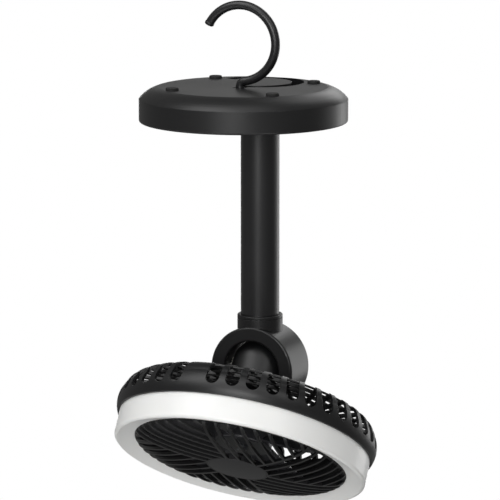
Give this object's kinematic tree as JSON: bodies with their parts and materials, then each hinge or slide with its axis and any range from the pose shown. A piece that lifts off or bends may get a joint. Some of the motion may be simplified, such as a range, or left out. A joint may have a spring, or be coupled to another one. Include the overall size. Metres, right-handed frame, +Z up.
{
  "type": "portable camping fan",
  "caption": "Hanging camping fan: a flat round battery base with a fold-down hook, a pole and a tilting fan head with a light ring and a domed pinwheel grille.",
  "frame": {"origin": "inside the hook's bow, where a hanger bears, straight above the hook's pivot", "axes": "+Z up along the pole as the fan hangs, -Y the way the head faces when it is tilted forward, +X to the right of the fan as seen from the front"},
  "size_m": [0.1928, 0.1772, 0.3837],
  "materials": {
    "black_shell_plastic": "fine spark-eroded texture",
    "black_cap_plastic": "smooth satin",
    "black_key_plastic": "satin",
    "impeller_plastic": "moulded, half gloss",
    "milky_plastic": "milky, diffusing",
    "hook_coated_steel": "powder coated",
    "pole_anodised": "black anodised",
    "foot_rubber": "matte",
    "cradle_plastic": "moulded",
    "cell_can": "film sleeve",
    "board_laminate": "solder mask",
    "switch_plastic": "moulded",
    "clear_plastic": "smoked, polished",
    "socket_steel": "nickel plated",
    "screw_steel": "zinc plated",
    "pin_steel": "ground",
    "washer_plastic": "natural nylon",
    "lead_sheath": "smooth sheath",
    "led_package": "phosphor",
    "bearing_bronze": "sintered",
    "stator_laminations": "stacked sheet",
    "ferrite_magnet": "sintered"
  },
  "bodies": {
    "base": {"base_foot_cover": "black_shell_plastic", "base_pole_cover": "black_shell_plastic", "foot_1": "foot_rubber", "foot_2": "foot_rubber", "foot_3": "foot_rubber", "foot_4": "foot_rubber", "base_screws": "screw_steel", "hook_pin": "pin_steel", "front_cell_cradle": "cradle_plastic", "right_cell_cradle": "cradle_plastic", "left_cell_cradle": "cradle_plastic", "battery_cell_1": "cell_can", "battery_cell_2": "cell_can", "battery_cell_3": "cell_can", "battery_cell_4": "cell_can", "panel_board": "board_laminate", "touch_switches": "switch_plastic", "battery_window": "clear_plastic", "charge_board": "board_laminate", "usb_socket": "socket_steel", "pole": "pole_anodised", "pole_flange": "cradle_plastic", "flange_screws": "screw_steel", "pole_lead": "lead_sheath", "yoke": "black_shell_plastic"},
    "hook": {"hook": "hook_coated_steel"},
    "head": {"neck": "black_shell_plastic", "neck_screws": "screw_steel", "tilt_pin_right": "pin_steel", "tilt_pin_left": "pin_steel", "tilt_washer_right": "washer_plastic", "tilt_washer_left": "washer_plastic", "front_grille": "black_shell_plastic", "grille_cap": "black_cap_plastic", "led_ring": "milky_plastic", "led_board": "board_laminate", "led_chips": "led_package", "fan_shroud": "black_shell_plastic", "head_screws": "screw_steel", "rear_shell": "black_shell_plastic", "bearing_front": "bearing_bronze", "bearing_rear": "bearing_bronze", "motor_stator": "stator_laminations"},
    "rotor": {"rotor_bell": "pin_steel", "rotor_magnets": "ferrite_magnet", "motor_shaft": "pin_steel", "impeller": "impeller_plastic", "impeller_nut": "screw_steel"},
    "fan_button": {"fan_button": "black_key_plastic"},
    "light_button": {"light_button": "black_key_plastic"}
  },
  "joints": [
    {"name": "hook_fold", "type": "hinge", "parent": "base", "child": "hook", "pos_m": [0, 0, -0.0596], "axis": [-1, 0, 0], "range_deg": [0, 90]},
    {"name": "head_tilt", "type": "hinge", "parent": "base", "child": "head", "pos_m": [0, 0.0366, -0.2658], "axis": [-1, 0, 0], "range_deg": [-121.75, 58.25]},
    {"name": "fan_spin", "type": "hinge", "parent": "head", "child": "rotor", "pos_m": [0, 0.0366, -0.2658], "axis": [0, 0.5262, 0.8504], "continuous": true},
    {"name": "fan_button_press", "type": "slide", "parent": "base", "child": "fan_button", "axis": [0, 0, 1], "range_m": [0, 0.0007], "stiffness_N_per_m": 600, "springref_m": -0.001},
    {"name": "light_button_press", "type": "slide", "parent": "base", "child": "light_button", "axis": [0, 0, 1], "range_m": [0, 0.0007], "stiffness_N_per_m": 600, "springref_m": -0.001}
  ]
}
